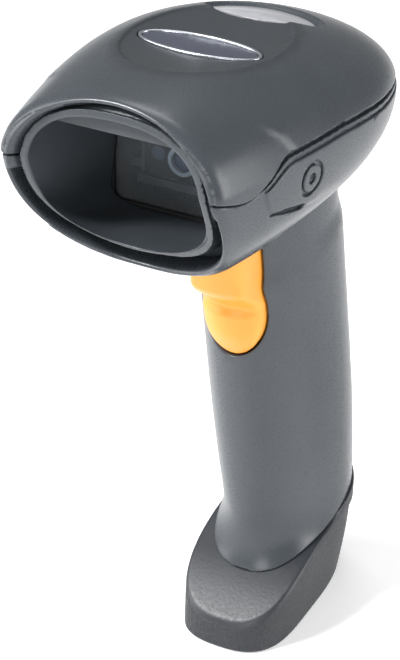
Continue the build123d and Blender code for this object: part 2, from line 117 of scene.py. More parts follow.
def true_distance(level, x, y, z, reach=0.2):
    """Turns a level function, zero on a surface, into distance from it, near enough."""
    here = level(x, y, z)
    gx = (level(x + reach, y, z) - here) / reach
    gy = (level(x, y + reach, z) - here) / reach
    gz = (level(x, y, z + reach) - here) / reach
    return here / np.sqrt(gx * gx + gy * gy + gz * gz + 1e-9)


def box_field(x, y, z, middle, half, radius):
    qx = np.abs(x - middle[0]) - half[0] + radius
    qy = np.abs(y - middle[1]) - half[1] + radius
    qz = np.abs(z - middle[2]) - half[2] + radius
    outside = np.sqrt(np.maximum(qx, 0) ** 2 + np.maximum(qy, 0) ** 2 + np.maximum(qz, 0) ** 2)
    return outside + np.minimum(np.maximum(qx, np.maximum(qy, qz)), 0.0) - radius


def cylinder_z(x, y, z, middle, radius, low, high):
    side = np.hypot(x - middle[0], y - middle[1]) - radius
    return np.maximum(side, np.maximum(low - z, z - high))


def ellipse_field(a, b, half_a, half_b):
    r = np.sqrt((a / half_a) ** 2 + (b / half_b) ** 2) + 1e-6
    slope = np.sqrt((a / half_a ** 2) ** 2 + (b / half_b ** 2) ** 2) / r + 1e-6
    return (r - 1.0) / slope


# ------------------------------------------------------------------ the scanner's main forms
def head_half(y):
    ahead = np.clip((WIDEST_Y - y) / (WIDEST_Y - NOSE_Y), 0.0, 1.2)
    nose = HEAD_HALF - (HEAD_HALF - NOSE_HALF) * ahead ** NOSE_FLARE
    return np.where(y < WIDEST_Y, nose, HEAD_HALF * power_curve((y - WIDEST_Y) / TAIL_LENGTH, 2.0))


def head_top(y):
    tail = WIDEST_Y + TAIL_LENGTH
    front = CREST_Z - NOSE_DROP * ((CREST_Y - y) / (CREST_Y - NOSE_Y)) ** 2
    back = TAIL_Z + (CREST_Z - TAIL_Z) * power_curve((y - CREST_Y) / (tail - CREST_Y), CREST_POWER)
    return np.where(y < CREST_Y, front, back)


def head_low(y):
    tail = WIDEST_Y + TAIL_LENGTH
    return TAIL_Z - (TAIL_Z - BELLY_Z) * power_curve((y - BELLY_Y) / (tail - BELLY_Y), BELLY_POWER)


def head_girth(y):
    return GIRTH_Z - GIRTH_FALL * np.clip((y - WIDEST_Y) / TAIL_LENGTH, 0.0, 1.0) ** 2


def head_field(x, y, z, inset=0.0):
    def level(x, y, z):
        half = np.maximum(head_half(y) - inset, 0.3)
        girth = head_girth(y)
        up = np.maximum(head_top(y) - inset - girth, 0.3)
        down = np.maximum(girth - head_low(y) - inset, 0.3)
        rise = z - girth
        across = np.abs(x) / half
        upper = np.sqrt(across ** 2 + (rise / up) ** 2)
        lower = (across ** LOWER_POWER + np.abs(rise / down) ** LOWER_POWER) ** (1 / LOWER_POWER)
        return np.where(rise > 0, upper, lower) - 1.0

    skin = blend_max(true_distance(level, x, y, z), y - (WIDEST_Y + TAIL_LENGTH - 0.25 - inset), 0.6)
    return np.maximum(skin, BELLY_Z - 3.0 - z)


def grip_front(z):
    return GRIP_FRONT - FRONT_SLOPE * (z - GRIP_LEVEL)


def grip_field(x, y, z, inset=0.0):
    def level(x, y, z):
        front = grip_front(z) + inset
        back = GRIP_BACK - BACK_SLOPE * (z - GRIP_LEVEL) - inset
        half = GRIP_HALF - TAPER * (np.maximum(0.0, TAPER_LEVEL - z) / 50.0) ** 2 - inset
        middle, depth = (front + back) / 2, (back - front) / 2
        along = (y - middle) / depth
        across = np.abs(x) / (half * (1 + EGG * np.clip(along, -1.4, 1.4)))
        return (across ** GRIP_POWER + np.abs(along) ** GRIP_POWER) ** (1 / GRIP_POWER) - 1.0

    return true_distance(level, x, y, z)


def face_y(z):
    """The nose's front face: upright above the girth, raked back below it."""
    up = 2.3 * (np.maximum(z - RAKE_Z, 0.0) / 16.0) ** 1.6
    down = 13.6 * (np.clip(RAKE_Z - z, 0.0, 30.0) / 26.0) ** 1.25
    return FACE_Y + up + down


def parting_z(y):
    """The line where the top cover meets the main housing, seen from the side."""
    rise = PARTING_RISE * smooth((y + 43.0) / 15.0) + 1.7 * smooth((-43.5 - y) / 9.0)
    fall = PARTING_FALL * (np.maximum(y + 12.0, 0.0) / 60.0) ** 1.25
    return PARTING_Z + rise - fall


def foot_top(y):
    base = 7.6 + 17.5 * np.tanh((y + 3.6) / 23.5)
    return base + 9.5 * (np.maximum(y - 26.0, 0.0) / 25.0) ** 2


def foot_block(x, y, z):
    def level(x, y, z):
        front = -5.0 + 0.165 * z
        back = 52.0 - 0.0061 * (z - 12.0) ** 2
        half = 13.1 + 0.135 * z - 0.0014 * z ** 2
        middle, depth = (front + back) / 2, (back - front) / 2
        along = (y - middle) / depth
        wide = half * (1 + (0.006 * z - 0.14) * np.clip(along, -1.3, 1.3))
        power = 3.75 - 0.75 * np.sign(along)
        square = np.where(along < 0, 2.6, 2.0)
        return np.abs(x / wide) ** square + np.abs(along) ** power - 1.0

    return true_distance(level, x, y, z)


def collar_growth(y, z):
    height = z - foot_top(y)
    rise = np.clip(1.0 - height / COLLAR_HEIGHT, 0.0, 1.0)
    return COLLAR_OUT * rise ** 2.4 * smooth((39.0 - y) / 30.0)


def scanner_outside(x, y, z):
    """Head and grip as one skin, blended where they meet, flared to a collar over the foot."""
    head = head_field(x, y, z)
    waist = WAIST * smooth((z - 97.5 - 0.42 * np.maximum(y, 0.0)) / 6.0)
    grip = grip_field(x, y, z) - collar_growth(y, z) + waist
    grip = blend_max(grip, z - GRIP_TOP, 4.0)
    return blend_min(head, grip, 9.0)


def scanner_inside(x, y, z):
    head = head_field(x, y, z, WALL)
    grip = blend_max(grip_field(x, y, z, GRIP_WALL), z - GRIP_TOP, 2.0)
    grip = blend_max(grip, 24.0 - z, 1.0)
    tail = box_field(x, y, z, (0, SPIGOT[2], 16.0), (7.6, 12.2, 10.6), 3.2)
    return np.minimum(blend_min(head, grip, 5.0), tail)


# ------------------------------------------------------------------ top cover
PLATEAU_LINE = (
    (-44, 168.7), (-34, 166.3), (-24, 164.8), (-13, 163.9), (0, 163.5), (14, 163.35), (30, 163.4),
)
PLATEAU_STEP = 0.35                  # the flat is stepped down this much inside its edge
PLATEAU_DISH = 0.0022                # how much the flat rises towards its sides
LIGHT_Y, LIGHT_X_HALF, LIGHT_Y_HALF = 15.5, 13.0, 6.5
BADGE_Y, BADGE_HALF, BADGE_DEPTH = -13.0, 15.0, 6.0
BADGE_RIM, BADGE_LIFT, BADGE_THICK = 0.8, 0.3, 1.45


def plateau_z(x, y):
    """Height of the shallow flat on top of the cover."""
    line_y = np.arange(-44.0, 31.0, 2.0)
    knots = np.array(PLATEAU_LINE, float)
    line_z = np.interp(line_y, knots[:, 0], knots[:, 1])
    for _ in range(3):
        line_z[1:-1] = (line_z[:-2] + 2 * line_z[1:-1] + line_z[2:]) / 4
    return np.interp(y, line_y, line_z) + PLATEAU_DISH * x * x


def badge_plan(x, y, grow):
    return ellipse_field(x, y - BADGE_Y, BADGE_HALF + grow, BADGE_DEPTH + grow)


def light_plan(x, y, grow):
    return ellipse_field(x, y - LIGHT_Y, LIGHT_X_HALF + grow, LIGHT_Y_HALF + grow)


def cover_surface(x, y, z):
    """The head's skin with the cover's relief: nose step, plateau, and the dish round the light."""
    skin = head_field(x, y, z)
    crease = -27.2 - 0.93 * (32.0 - np.abs(x))
    flank = smooth((np.abs(x) - 19.0) / 6.0) * smooth((z - 149.0) / 3.0)
    skin = skin + 0.25 * flank * (1.0 - smooth((y - crease) / 2.6 + 0.5))
    flat = plateau_z(x, y)
    under = -head_field(x, y, np.where(z > TOP_ABOVE, flat, z))
    flat = flat - PLATEAU_STEP * smooth((under - 0.05) / 0.22)
    skin = blend_max(skin, z - flat, 0.25)
    dish = light_plan(x, y, 1.3)
    return skin + np.where(z > TOP_ABOVE, 1.3 * (1.0 - smooth((dish + 1.0) / 1.6)), 0.0)


def lip_back(z):
    """How far the lip stands behind the outer rim: less below, where the rim rakes back."""
    return LIP_BACK * (0.35 + 0.65 * smooth((z - 130.0) / 14.0))


def front_cut(x, y, z):
    """Ahead of this the nose is cut away: a bead at the skin, dished inward to the lip."""
    lip = ellipse_field(x, z - LIP_MIDDLE, LIP_X, LIP_Z)
    dish = lip_back(z) * (1.0 - smooth((lip - 0.7) / 3.0))
    return (face_y(z) + dish - y) * 0.9


def rim_field(x, y, z):
    """The broad front rim between the scanner's skin and the lip; a channel opens below it."""
    depth = y - face_y(z)
    lip = ellipse_field(x, z - LIP_MIDDLE, LIP_X, LIP_Z)
    ring = np.maximum(1.25 + 0.28 - lip, depth - RIM_DEPTH)
    end = blend_max(ring, GROOVE_TOP + 0.4 - z, 1.6)
    return np.maximum(end, head_field(x, y, z, 0.6))


def top_cover_field(x, y, z):
    inside = np.maximum(scanner_inside(x, y, z), z - plateau_z(x, y) + WALL)
    inside = np.maximum(inside, -rim_field(x, y, z))
    shell = blend_max(cover_surface(x, y, z), -inside, 0.5)
    shell = blend_max(shell, front_cut(x, y, z), 3.0)
    shell = blend_max(shell, parting_z(y) + SEAM / 2 - z, 0.5)
    seat = np.maximum(badge_plan(x, y, 0.2), plateau_z(x, y) - 1.5 - z)
    shell = blend_max(shell, -np.maximum(seat, TOP_ABOVE - z), 0.35)
    return blend_max(shell, -np.maximum(light_plan(x, y, 0.18), TOP_ABOVE - z), 0.4)


# ------------------------------------------------------------------ main housing
def side_channel(x, y, z, outside):
    """The shadow channel under the cover's edge: a deep gap, a ledge, and a fine groove."""
    drop = parting_z(y) - z
    reach = smooth((y + 41.5) / 6.0) * (1.0 - 0.55 * smooth((y - 6.0) / 34.0))
    gap = np.maximum(drop - 0.75 * reach, -1.5 * reach - outside)
    ledge = np.maximum(drop - 1.85 * reach, -0.32 * reach - outside)
    line = np.maximum(np.abs(drop - 1.85 * reach) - 0.22, -0.75 * reach - outside)
    return np.minimum(gap, np.minimum(ledge, line)), reach


def side_panel(y, z):
    """Distance inside the raised side panel's outline, seen from the side."""
    front = -38.0 + 0.045 * (148.0 - z) ** 2
    low = 137.0 + 5.5 * np.exp(-(y + 38.0) / 7.0) + 0.02 * (y + 14.0)
    return np.maximum(front - y, low - z)


def slit_field(x, y, z, outside):
    """The drain slit under the side panel."""
    t = np.clip((y - SLIT_Y) / SLIT_LENGTH, 0.0, 1.0)
    centre_z = SLIT_Z - SLIT_DROP * t
    centre_y = SLIT_Y + SLIT_LENGTH * t
    width = 0.45 + 0.35 * smooth(t * 1.5)
    return np.maximum(np.hypot(y - centre_y, z - centre_z) - width, -1.3 - outside)


def roundel(y, z, outside):
    """A plain engraved ring with a dot."""
    r = np.hypot(y - ROUNDEL_Y, (z - ROUNDEL_Z) * 0.95)
    ring = np.abs(r - ROUNDEL_RADIUS) - 0.5
    return np.maximum(np.minimum(ring, r - 1.2), -0.75 - outside)


def trigger_half(z):
    """The trigger's half width: straight stem, wider lobe, pointed oval tip."""
    lobe = LOBE_HALF * np.sqrt(np.maximum(0.0, 1.0 - ((LOBE_LEVEL - z) / (LOBE_LEVEL - TIP_Z)) ** 2))
    stem = STEM_HALF + (LOBE_HALF - STEM_HALF) * (1.0 - smooth((z - LOBE_LEVEL - 2.0) / 6.0))
    return np.where(z < LOBE_LEVEL, lobe, stem)


def trigger_side(x, z, grow):
    """Distance outside the trigger's outline, seen from the front."""
    tall = LOBE_LEVEL - TIP_Z + grow
    tip = ellipse_field(x, np.minimum(z - LOBE_LEVEL, 0.0), LOBE_HALF + grow, tall)
    return np.where(z < LOBE_LEVEL, tip, np.abs(x) - trigger_half(z) - grow)


def trigger_window_field(x, y, z):
    slot = trigger_side(x, z, TRIGGER_GAP)
    return np.maximum(np.maximum(slot, z - OPENING_TOP), y - 13.5)


def main_housing_field(x, y, z):
    outside = scanner_outside(x, y, z)
    relief = 0.35 * smooth((side_panel(y, z) + 0.5) / 0.9) * smooth((-4.0 - y) / 26.0)
    shaped = outside + np.where(z > 128, relief, 0.0)
    inside = np.maximum(scanner_inside(x, y, z), -rim_field(x, y, z))
    shell = blend_max(shaped, -inside, 0.5)
    shell = blend_max(shell, front_cut(x, y, z), 3.0)
    shell = blend_max(shell, z - parting_z(y) + SEAM / 2, 0.45)
    channel, reach = side_channel(x, y, z, outside)
    shell = blend_max(shell, -channel, 0.3)
    shell = blend_max(shell, -slit_field(x, y, z, outside), 0.3)
    shell = blend_max(shell, -roundel(y, z, outside), 0.25)
    shell = blend_max(shell, -trigger_window_field(x, y, z), 0.7)
    shell = blend_max(shell, foot_top(y) + 0.12 - z, 0.9)
    tail = blend_max(grip_field(x, y, z, REBATE), z - foot_top(y) - 0.6, 0.5)
    tail = np.maximum(tail, REBATE_LEVEL - z)
    plug = box_field(x, y, z, (0, SPIGOT[2], 12.0), (SPIGOT[0], SPIGOT[1], 9.2), 4.6)
    plug = np.maximum(plug, SPIGOT_LOW - z)
    tail = np.maximum(np.minimum(tail, plug), -scanner_inside(x, y, z))
    tail = np.maximum(tail, -box_field(x, y, z, (0, 29.0, 5.0), (6.0, 4.6, 5.0), 0.2))
    return np.minimum(shell, tail)


# ------------------------------------------------------------------ nose bezel
def bowl_field(x, y, z, grow):
    """The nose's bowl: an oval at the lip that turns into a flat-floored box at the window."""
    deep = np.clip((y - face_y(z)) / (WINDOW_Y - NOSE_Y - 3.0), 0.0, 1.1)
    t = np.clip(deep, 0.0, 1.0)
    half_x = LIP_X - 7.6 * t + grow
    half_z = LIP_Z - 2.5 * t ** 0.6 + grow
    middle = LIP_MIDDLE - 2.0 * t ** 0.6
    power = 2.0 + 5.0 * t
    across = np.abs(x) / half_x
    rise = np.abs(z - middle) / half_z
    level = (across ** power + rise ** power + 1e-6) ** (1.0 / power)
    return (level - 1.0) * np.minimum(half_x, half_z)


def bezel_field(x, y, z):
    depth = (y - face_y(z)) * 0.88
    lip = ellipse_field(x, z - LIP_MIDDLE, LIP_X, LIP_Z)
    body = head_field(x, y, z, WALL + 0.15)
    flange = np.maximum(body, np.maximum(4.4 - depth, depth - 8.5))
    groove = np.maximum(1.5 - lip, np.maximum(z - GROOVE_TOP, depth - 7.2))
    flange = blend_max(flange, -groove, 0.6)
    collar = blend_max(lip - 1.25, lip_back(z) - 0.5 - depth, 1.1)
    collar = np.maximum(np.maximum(collar, depth - 8.5), body)
    tube = np.maximum(bowl_field(x, y, z, 1.7), np.maximum(2.0 - depth, y - WINDOW_Y))
    tube = np.maximum(tube, np.minimum(body, y - WINDOW_Y))
    whole = np.minimum(np.minimum(flange, collar), tube)
    bowl = np.maximum(bowl_field(x, y, z, 0.0), np.minimum(z - CEILING, depth - 4.4))
    return blend_max(whole, -bowl, 0.45)


# ------------------------------------------------------------------ trigger
def trigger_front(x, z):
    """How far forward the trigger stands: a rounded upper bump, a finger hollow, a flush lobe."""
    bump = BUMP_OUT * smooth((z - BUMP_Z) / 8.5) * (1.0 - 0.0024 * x * x)
    swell = (1.0 - smooth((z - 92.0) / 4.0)) * smooth((z - 79.0) / 9.0)
    lobe = (LOBE_OUT - 0.026 * x * x) * swell
    skin = 0.5 + x * x * (0.033 - 0.021 * smooth((z - BUMP_Z) / 8.5))
    return grip_front(z) + skin - bump - lobe


def trigger_field(x, y, z):
    upper = smooth((z - 92.0) / 6.0)
    sides = trigger_side(x, z, 0.0)
    front = (trigger_front(x, z) - y) * 0.9
    blade = blend_max(sides, front, 1.2 + 1.2 * upper)
    back = np.where(np.abs(z - 98.5) < 1.4, y - 11.4, y - 10.0)
    blade = np.maximum(blade, np.maximum(back, z - TRIGGER_TOP))
    boss = np.maximum(np.hypot(y - PIVOT_Y, z - PIVOT_Z) - 2.7, np.abs(x) - STEM_HALF)
    blade = blend_min(blade, boss, 0.5)
    hollow = box_field(x, y, z, (0, 6.4, 100.0), (5.4, 3.0, 12.5), 0.8)
    blade = blend_max(blade, -hollow, 0.4)
    return np.maximum(blade, 1.05 - np.hypot(y - PIVOT_Y, z - PIVOT_Z))


# ------------------------------------------------------------------ foot, badge, light
def foot_field(x, y, z):
    block = blend_max(foot_block(x, y, z), z - foot_top(y), 1.1)
    block = blend_max(block, -z, 0.9)
    lap = np.maximum(grip_field(x, y, z, -0.25), np.maximum(z - foot_top(y), REBATE_LEVEL + 3 - z))
    lap = np.maximum(lap, 14.0 - y)
    foot = blend_min(block, lap, 1.5)
    foot = np.maximum(foot, -np.maximum(grip_field(x, y, z, REBATE - 0.05), REBATE_LEVEL - z))
    spigot = box_field(x, y, z, (0, SPIGOT[2], 14.0), (SPIGOT[0], SPIGOT[1], 10.8), 4.6)
    foot = np.maximum(foot, -np.maximum(spigot, SPIGOT_LOW - z))
    foot = blend_max(foot, -box_field(x, y, z, (0, 29.0, 2.0), (7.0, 5.4, 5.0), 0.8), 0.5)
    screw_hole = np.minimum(np.hypot(x, y - 17.0) - 1.5, cylinder_z(x, y, z, (0, 17.0), 3.0, -1, 2.0))
    return np.maximum(foot, -screw_hole)


def badge_rise(y, z):
    """Height above the level of the badge's rim."""
    return z - plateau_z(0.0, y) - BADGE_LIFT


def badge_face_field(x, y, z):
    rise = badge_rise(y, z)
    slab = np.maximum(rise + 0.35 + 0.012 * (y - BADGE_Y) ** 2, -BADGE_THICK - rise)
    return blend_max(slab, badge_plan(x, y, -BADGE_RIM), 0.3)


def badge_rim_field(x, y, z):
    rise = badge_rise(y, z)
    plan = np.maximum(badge_plan(x, y, 0.0), -badge_plan(x, y, -BADGE_RIM))
    return blend_max(np.maximum(rise, -BADGE_THICK - rise), plan, 0.35)


def status_lens_field(x, y, z):
    skin = head_field(x, y, z)
    slab = blend_max(skin + 1.05, light_plan(x, y, 0.0), 0.7)
    slab = np.maximum(slab, z - plateau_z(x, y) + 0.7)
    return np.maximum(np.maximum(slab, -2.3 - skin), TOP_ABOVE - z)


# ------------------------------------------------------------------ meshing
def put_in_scene(name, data):
    """A new object of this name that shows the given data."""
    thing = bpy.data.objects.new(name, data)
    bpy.context.scene.collection.objects.link(thing)
    return thing


def evaluate(field, xs, ys, zs, chunk=400000):
    out = np.empty(len(xs), np.float32)
    for start in range(0, len(xs), chunk):
        part = slice(start, start + chunk)
        out[part] = field(xs[part], ys[part], zs[part])
    return out


def narrow_band(field, low, high, step, block=6):
    """Samples a field on a grid, finely only in the blocks near its surface."""
    counts = [int(math.ceil((b - a) / (step * block))) for a, b in zip(low, high)]
    centres = [a + step * block * (np.arange(n) + 0.5) for a, n in zip(low, counts)]
    cx, cy, cz = (g.ravel() for g in np.meshgrid(*centres, indexing="ij"))
    coarse = evaluate(field, cx, cy, cz)
    near = np.abs(coarse) < step * block * 1.25 + 0.8
    grid = np.repeat(np.repeat(np.repeat(
        coarse.reshape(counts), block, 0), block, 1), block, 2).astype(np.float32)
    grid = np.where(grid > 0, 3.0 * step, -3.0 * step).astype(np.float32)
    origin = np.stack(np.unravel_index(np.flatnonzero(near), counts), 1) * block
    local = np.stack(np.meshgrid(*[np.arange(block)] * 3, indexing="ij"), -1).reshape(-1, 3)
    index = (origin[:, None, :] + local[None, :, :]).reshape(-1, 3)
    place = np.asarray(low) + step * index
    values = evaluate(field, place[:, 0], place[:, 1], place[:, 2])
    grid[index[:, 0], index[:, 1], index[:, 2]] = np.clip(values, -3 * step, 3 * step)
    return grid


def gradient(field, p, reach=0.05):
    parts = []
    for axis in range(3):
        ahead, behind = p.copy(), p.copy()
        ahead[:, axis] += reach
        behind[:, axis] -= reach
        parts.append(evaluate(field, *ahead.T) - evaluate(field, *behind.T))
    return np.stack(parts, 1) / (2 * reach)


def settle(field, p, rounds=3, limit=0.25):
    """Moves points onto the field's surface."""
    for _ in range(rounds):
        value = evaluate(field, *p.T)
        slope = gradient(field, p)
        size = np.sum(slope * slope, 1) + 1e-6
        move = -(value / size)[:, None] * slope
        length = np.linalg.norm(move, axis=1)
        p = p + move * np.minimum(1.0, limit / (length + 1e-9))[:, None]
    return p


def mesh_from_field(name, field, low, high, step, adaptivity):
    """Meshes a field's zero surface, settles the points on it, and takes its normals from the field."""
    grid = narrow_band(field, low, high, step)
    volume = openvdb.FloatGrid(3.0 * step)
    volume.copyFromArray(grid)
    points, triangles, quads = volume.convertToPolygons(isovalue=0.0, adaptivity=adaptivity)
    place = settle(field, np.asarray(low) + step * np.asarray(points, float))
    normals = gradient(field, place)
    normals /= np.linalg.norm(normals, axis=1)[:, None] + 1e-9
    faces = [tuple(map(int, f[::-1])) for f in quads] + [tuple(map(int, f[::-1])) for f in triangles]
    mesh = bpy.data.meshes.new(name)
    mesh.from_pydata((place * MM).tolist(), [], faces)
    mesh.validate()
    mesh.polygons.foreach_set("use_smooth", np.ones(len(mesh.polygons), bool))
    inner = np.median([mesh.polygons[i].normal.dot(Vector(normals[mesh.polygons[i].vertices[0]]))
                       for i in range(0, len(mesh.polygons), 97)])
    if inner < 0:
        mesh.flip_normals()
    mesh.normals_split_custom_set_from_vertices(normals.tolist())
    mesh.update()
    return put_in_scene(name, mesh)


# ------------------------------------------------------------------ materials
def srgb(red, green, blue):
    """A colour given as it looks, 0 to 255, as linear light."""
    out = []
    for value in (red, green, blue):
        v = value / 255.0
        out.append(v / 12.92 if v <= 0.04045 else ((v + 0.055) / 1.055) ** 2.4)
    return (*out, 1.0)


def shade(colour, factor):
    return (*[min(1.0, c * factor) for c in colour[:3]], 1.0)


class Nodes:
    """A small hand for building one material's node tree."""

    def __init__(self, name):
        self.material = bpy.data.materials.new(name)
        self.material.use_nodes = True
        self.tree = self.material.node_tree
        self.surface = self.tree.nodes["Principled BSDF"]
        self.where = self.tree.nodes.new("ShaderNodeTexCoord").outputs["Object"]

    def add(self, kind, **values):
        node = self.tree.nodes.new(kind)
        for key, value in values.items():
            setattr(node, key, value)
        return node

    def join(self, source, target):
        self.tree.links.new(source, target)

    def noise(self, grain, detail):
        """Noise with grains of the given size in millimetres."""
        node = self.add("ShaderNodeTexNoise")
        node.inputs["Scale"].default_value = 1.0 / (grain * MM)
        node.inputs["Detail"].default_value = detail
        self.join(self.where, node.inputs["Vector"])
        return node.outputs["Fac"]

    def spread(self, source, low, high):
        """The middle of a noise's range, stretched to run from low to high."""
        node = self.add("ShaderNodeMapRange")
        node.inputs["From Min"].default_value = 0.3
        node.inputs["From Max"].default_value = 0.7
        node.inputs["To Min"].default_value = low
        node.inputs["To Max"].default_value = high
        self.join(source, node.inputs["Value"])
        return node.outputs["Result"]

    def colours(self, source, first, second):
        """Two colours mixed by a value."""
        node = self.add("ShaderNodeMix", data_type="RGBA")
        node.inputs["A"].default_value = first
        node.inputs["B"].default_value = second
        self.join(source, node.inputs["Factor"])
        return node.outputs["Result"]

    def bump(self, source, depth):
        """Relief of the given depth in millimetres."""
        node = self.add("ShaderNodeBump")
        node.inputs["Distance"].default_value = depth * MM
        node.inputs["Strength"].default_value = 1.0
        self.join(source, node.inputs["Height"])
        return node.outputs["Normal"]

    def set(self, **values):
        for key, value in values.items():
            self.surface.inputs[key.replace("_", " ")].default_value = value


def finish_material(name, colour, roughness, grain, depth, mottle=0.05, gloss_spread=0.05,
                    metallic=0.0):
    """A solid finish: broad colour mottling, uneven gloss, and a fine surface grain."""
    hand = Nodes(name)
    broad = hand.noise(9.0, 3.0)
    tint = hand.spread(broad, 0.0, 1.0)
    colours = hand.colours(tint, shade(colour, 1.0 - mottle), shade(colour, 1.0 + mottle))
    hand.join(colours, hand.surface.inputs["Base Color"])
    fine = hand.noise(grain, 3.0)
    rough = hand.spread(fine, roughness - gloss_spread, roughness + gloss_spread)
    hand.join(rough, hand.surface.inputs["Roughness"])
    hand.join(hand.bump(fine, depth), hand.surface.inputs["Normal"])
    hand.set(Metallic=metallic, Specular_IOR_Level=0.5)
    return hand.material


def finish_or_painted_shade(name, colour, marked, roughness, marked_roughness, grain, depth, marked_depth):
    """A finish that changes where the piece is marked: a real change of finish, such as smooth on top of
    coarse sides, and also painted shade, a darker colour where the marked part lies in shade.
    """
    hand = Nodes(name)
    mask = hand.add("ShaderNodeAttribute", attribute_name="mark").outputs["Fac"]
    broad = hand.spread(hand.noise(8.0, 3.0), 0.0, 1.0)
    plain = hand.colours(broad, shade(colour, 0.95), shade(colour, 1.05))
    other = hand.colours(broad, shade(marked, 0.95), shade(marked, 1.05))
    blend = hand.add("ShaderNodeMix", data_type="RGBA")
    hand.join(mask, blend.inputs["Factor"])
    hand.join(plain, blend.inputs["A"])
    hand.join(other, blend.inputs["B"])
    hand.join(blend.outputs["Result"], hand.surface.inputs["Base Color"])
    coarse = hand.noise(grain, 4.0)
    fade = hand.add("ShaderNodeMapRange")
    fade.inputs["To Min"].default_value = 1.0
    fade.inputs["To Max"].default_value = marked_depth / depth
    hand.join(mask, fade.inputs["Value"])
    height = hand.add("ShaderNodeMath", operation="MULTIPLY")
    hand.join(coarse, height.inputs[0])
    hand.join(fade.outputs["Result"], height.inputs[1])
    hand.join(hand.bump(height.outputs[0], depth), hand.surface.inputs["Normal"])
    gloss = hand.add("ShaderNodeMapRange")
    gloss.inputs["To Min"].default_value = roughness
    gloss.inputs["To Max"].default_value = marked_roughness
    hand.join(mask, gloss.inputs["Value"])
    uneven = hand.add("ShaderNodeMath", operation="ADD")
    hand.join(gloss.outputs["Result"], uneven.inputs[0])
    hand.join(hand.spread(coarse, -0.04, 0.04), uneven.inputs[1])
    hand.join(uneven.outputs[0], hand.surface.inputs["Roughness"])
    return hand.material


def pane_material(name, tint, gloss):
    """A thin clear pane: mostly see-through, with a faint uneven sheen."""
    hand = Nodes(name)
    through = hand.add("ShaderNodeBsdfTransparent")
    through.inputs["Color"].default_value = tint
    mixer = hand.add("ShaderNodeMixShader")
    hand.join(hand.spread(hand.noise(7.0, 2.0), gloss * 0.8, gloss * 1.2), mixer.inputs["Fac"])
    hand.join(through.outputs[0], mixer.inputs[1])
    hand.join(hand.surface.outputs[0], mixer.inputs[2])
    fine = hand.noise(1.5, 2.0)
    hand.join(hand.spread(fine, 0.03, 0.09), hand.surface.inputs["Roughness"])
    hand.join(hand.bump(fine, 0.002), hand.surface.inputs["Normal"])
    hand.join(hand.colours(fine, tint, shade(tint, 0.9)), hand.surface.inputs["Base Color"])
    hand.join(mixer.outputs[0], hand.tree.nodes["Material Output"].inputs["Surface"])
    return hand.material


def clear_material(name, colour, roughness, transmission, ior=1.49):
    """A clear solid, faintly uneven."""
    hand = Nodes(name)
    broad = hand.spread(hand.noise(6.0, 2.0), 0.0, 1.0)
    tint = hand.colours(broad, shade(colour, 0.95), shade(colour, 1.05))
    hand.join(tint, hand.surface.inputs["Base Color"])
    fine = hand.noise(1.2, 2.0)
    hand.join(hand.spread(fine, roughness * 0.7, roughness * 1.4), hand.surface.inputs["Roughness"])
    hand.join(hand.bump(fine, 0.002), hand.surface.inputs["Normal"])
    hand.set(Transmission_Weight=transmission, IOR=ior)
    return hand.material


HOUSING = srgb(60, 65, 70)
MATERIALS = {
    "housing": finish_material("housing_plastic", HOUSING, 0.29, 0.30, 0.005),
    "dark_plastic": finish_material("dark_plastic", srgb(30, 31, 34), 0.55, 0.4, 0.02),
    "boot": finish_or_painted_shade("foot_plastic", srgb(38, 41, 45), srgb(46, 49, 54), 0.5, 0.40, 0.8, 0.5, 0.03),
    "trigger_plastic": finish_material("trigger_plastic", srgb(240, 158, 58), 0.36, 0.35, 0.008, 0.03),
    "window": pane_material("window_glass", srgb(225, 230, 234), 0.07),
    "optical_glass": clear_material("lens_glass", srgb(150, 165, 190), 0.03, 0.6, 1.6),
    "badge": finish_material("badge_plastic", srgb(66, 70, 82), 0.4, 0.5, 0.001),
    "light_lens": finish_material("light_lens", srgb(165, 166, 171), 0.2, 0.6, 0.004, 0.02),
    "clear_plastic": clear_material("clear_plastic", srgb(225, 228, 230), 0.1, 0.7),
    "steel": finish_material("steel", srgb(176, 178, 182), 0.3, 0.3, 0.006, 0.05, 0.08, 1.0),
    "spring_steel": finish_material("spring_steel", srgb(150, 152, 158), 0.34, 0.3, 0.006, 0.06, 0.08, 1.0),
    "circuit_board": finish_material("circuit_board", srgb(28, 84, 52), 0.4, 1.3, 0.02, 0.16),
    "chip": finish_material("chip", srgb(33, 33, 36), 0.5, 0.3, 0.01, 0.1),
    "connector": finish_material("connector", srgb(226, 221, 205), 0.45, 0.5, 0.01, 0.04),
    "contact": finish_material("contact", srgb(222, 180, 92), 0.25, 0.3, 0.006, 0.05, 0.06, 1.0),
    "zinc": finish_material("zinc", srgb(160, 163, 167), 0.4, 0.6, 0.02, 0.06, 0.08, 1.0),
    "flex": finish_material("flex", srgb(176, 104, 42), 0.35, 1.6, 0.01, 0.1),
    "seal": finish_material("seal", srgb(26, 26, 28), 0.7, 0.5, 0.03, 0.1),
    "wire": finish_material("wire", srgb(46, 46, 50), 0.5, 0.8, 0.01, 0.1),
    "led": clear_material("led", srgb(240, 236, 222), 0.12, 0.4),
}
# Painted shade: the flat on top of the cover is coloured 30% darker than the housing plastic, for the shade
# it lies in; its rougher, more grained surface there is the real finish.
COVER_PAINTED_SHADE = finish_or_painted_shade("cover_plastic_painted_shade", HOUSING, shade(HOUSING, 0.70), 0.29, 0.38, 0.3, 0.006, 0.02)
# Painted shade: inside the nose bowl the housing plastic is coloured 10% darker, deeper in, for the shade
# in the bowl; its higher roughness there is the real finish.
BOWL_PAINTED_SHADE = finish_or_painted_shade("bowl_plastic_painted_shade", HOUSING, shade(HOUSING, 0.9), 0.33, 0.42, 0.3, 0.006, 0.006)
BRIGHT_RIM = finish_material("bright_rim", srgb(196, 199, 206), 0.24, 0.3, 0.004, 0.03, 0.05, 0.9)


# ------------------------------------------------------------------ the pieces
def add_piece(piece, body, slot, *replaced, material=None):
    """Gives a piece its finish and its body, and hides the CAD nodes it stands for."""
    piece.data.materials.append(material or MATERIALS[slot])
    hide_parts(*replaced)
    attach(piece, body)
    return piece


